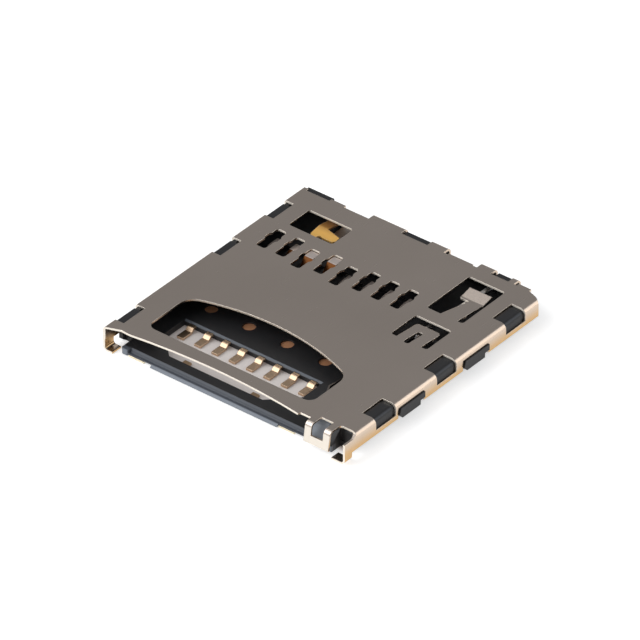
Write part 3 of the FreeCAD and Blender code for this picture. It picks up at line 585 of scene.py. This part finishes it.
# %% The table's material
# painted shadow: below the part the table is darker and warmer and glows less
TABLE_SHADED = (0.74, 0.70, 0.68, 1)
TABLE_OPEN = (0.80, 0.80, 0.80, 1)
GLOW_SHADED = (1.0, 0.86, 0.80, 1)
GLOW_OPEN = (1.0, 1.0, 1.0, 1)
GLOW = 0.07            # below the part
GLOW_MORE = 0.43       # added in the open
CAMERA_SHARE = 1.2     # of the glow that mirrors see
SHADE_EDGE = 0.5       # mm over which the shade under the part ends
SHADE_INSET = {"Across mm": (0, 0.9), "Along mm": (1, 1.2)}  # axis of the box, mm inside its side


def make_table_white():
    material, tree, shader = start_material("table_white")
    shader.inputs["Roughness"].default_value = 0.9
    shader.inputs["Specular IOR Level"].default_value = 0.0
    zones = place_group(tree, part_zones)
    outside = []
    for label, (axis, inset) in SHADE_INSET.items():
        side = MM_PER_METRE * cad_box[1][axis] - inset
        away = math_node(tree, "ABSOLUTE", zones.outputs[label])
        outside.append(ramp(tree, away, side, side + SHADE_EDGE))
    in_the_open = math_node(tree, "MAXIMUM", *outside)

    path = new_node(tree, "ShaderNodeLightPath")
    to_camera = times(tree, path.outputs["Is Camera Ray"], CAMERA_SHARE)
    seen = math_node(tree, "MAXIMUM", to_camera, path.outputs["Is Glossy Ray"])
    glow = about(tree, GLOW, in_the_open, GLOW_MORE)
    join(tree, times(tree, seen, glow), shader.inputs["Emission Strength"])
    join(tree, blend_colour(tree, in_the_open, GLOW_SHADED, GLOW_OPEN), shader.inputs["Emission Color"])
    join(tree, blend_colour(tree, in_the_open, TABLE_SHADED, TABLE_OPEN), shader.inputs["Base Color"])
    return material


table_white = make_table_white()
print("material:", table_white.name)

# %% [markdown]
# ### The sheet on the table
#
# One large square is enough. It lies a hundredth of a millimetre below the part, so that no two
# faces share a place. It belongs to the picture and not to the part.

# %% The floor
TABLE_REACH = 1.5      # metres to each side


def make_table():
    mesh = bpy.data.meshes.new("table_sheet")
    corners = [(x * TABLE_REACH, y * TABLE_REACH, 0) for x, y in ((-1, -1), (1, -1), (1, 1), (-1, 1))]
    mesh.from_pydata(corners, [], [(0, 1, 2, 3)])
    mesh.materials.append(table_white)
    floor = bpy.data.objects.new("table_sheet", mesh)
    floor.location.z = -0.01 * MM
    bpy.context.scene.collection.objects.link(floor)


make_table()
print("floor ready")

# %% [markdown]
# ## The light
#
# The picture tells where the lamps stood. The flat top mirrors a point high up behind, and is
# mid-grey, so nothing bright hangs there. The bevel of the front sill mirrors a point high up in
# front on the left, and is pale, so the main softbox is there. The folds along the right side are
# cream, so a second, dimmer one stands low behind on the right, down to the table's horizon, which
# would cut the folds with a dark line. The curled head of the tongue and the front of the gilt blade
# tilt a little and are bright, so a small third one hangs overhead.

# %% Lamps and world
LAMPS = {
    # direction from the part, distance and side in metres, power in watts
    "front_softbox": ((-0.51, -0.56, 0.63), 0.45, 0.45, 1.45),
    "rear_right_softbox": ((0.60, 0.62, 0.33), 0.50, 0.36, 0.50),
    "overhead_softbox": ((-0.51, 0.21, 0.83), 0.50, 0.12, 0.06),
}


def softbox(name, direction, distance, side, power):
    """A square lamp that looks at the part from a direction."""
    data = bpy.data.lights.new(name, "AREA")
    data.shape = "SQUARE"
    data.size = side
    data.energy = power
    lamp = bpy.data.objects.new(name, data)
    away = Vector(direction).normalized()
    lamp.location = away * distance
    lamp.rotation_euler = away.to_track_quat("Z", "Y").to_euler()
    bpy.context.scene.collection.objects.link(lamp)


for name, recipe in LAMPS.items():
    softbox(name, *recipe)

world = bpy.data.worlds.new("studio")
bpy.context.scene.world = world
world.use_nodes = True
room = world.node_tree.nodes["Background"]
room.inputs["Color"].default_value = (0.97, 0.98, 1.0, 1)
room.inputs["Strength"].default_value = 0.32

# %% [markdown]
# ## The camera
#
# The photograph has little perspective, as with a long lens some 40 cm away. The eight slots in the
# cover stand 1.10 mm apart, and with the corners and folds they fix the camera's place.

# %% Camera
def place_camera(azimuth, elevation, distance_mm, lens_mm, target_mm):
    """A camera that looks at a point of the part; azimuth 0 is in front of the mouth."""
    data = bpy.data.cameras.new("product_camera")
    data.lens = lens_mm
    data.sensor_width = 36.0
    data.clip_start = 0.01
    data.clip_end = 10.0
    camera = bpy.data.objects.new("product_camera", data)
    a, e = math.radians(azimuth), math.radians(elevation)
    back = Vector((math.sin(a) * math.cos(e), -math.cos(a) * math.cos(e), math.sin(e)))
    camera.location = Vector(target_mm) * MM + back * distance_mm * MM
    camera.rotation_euler = back.to_track_quat("Z", "Y").to_euler()
    bpy.context.scene.collection.objects.link(camera)
    bpy.context.scene.camera = camera
    return camera


camera = place_camera(azimuth=38.734, elevation=35.032, distance_mm=414.54, lens_mm=519.36,
                      target_mm=(0.2728, -0.7579, 1.28))
bpy.context.scene.view_settings.view_transform = "Standard"
print("camera at", [round(v, 4) for v in camera.location])
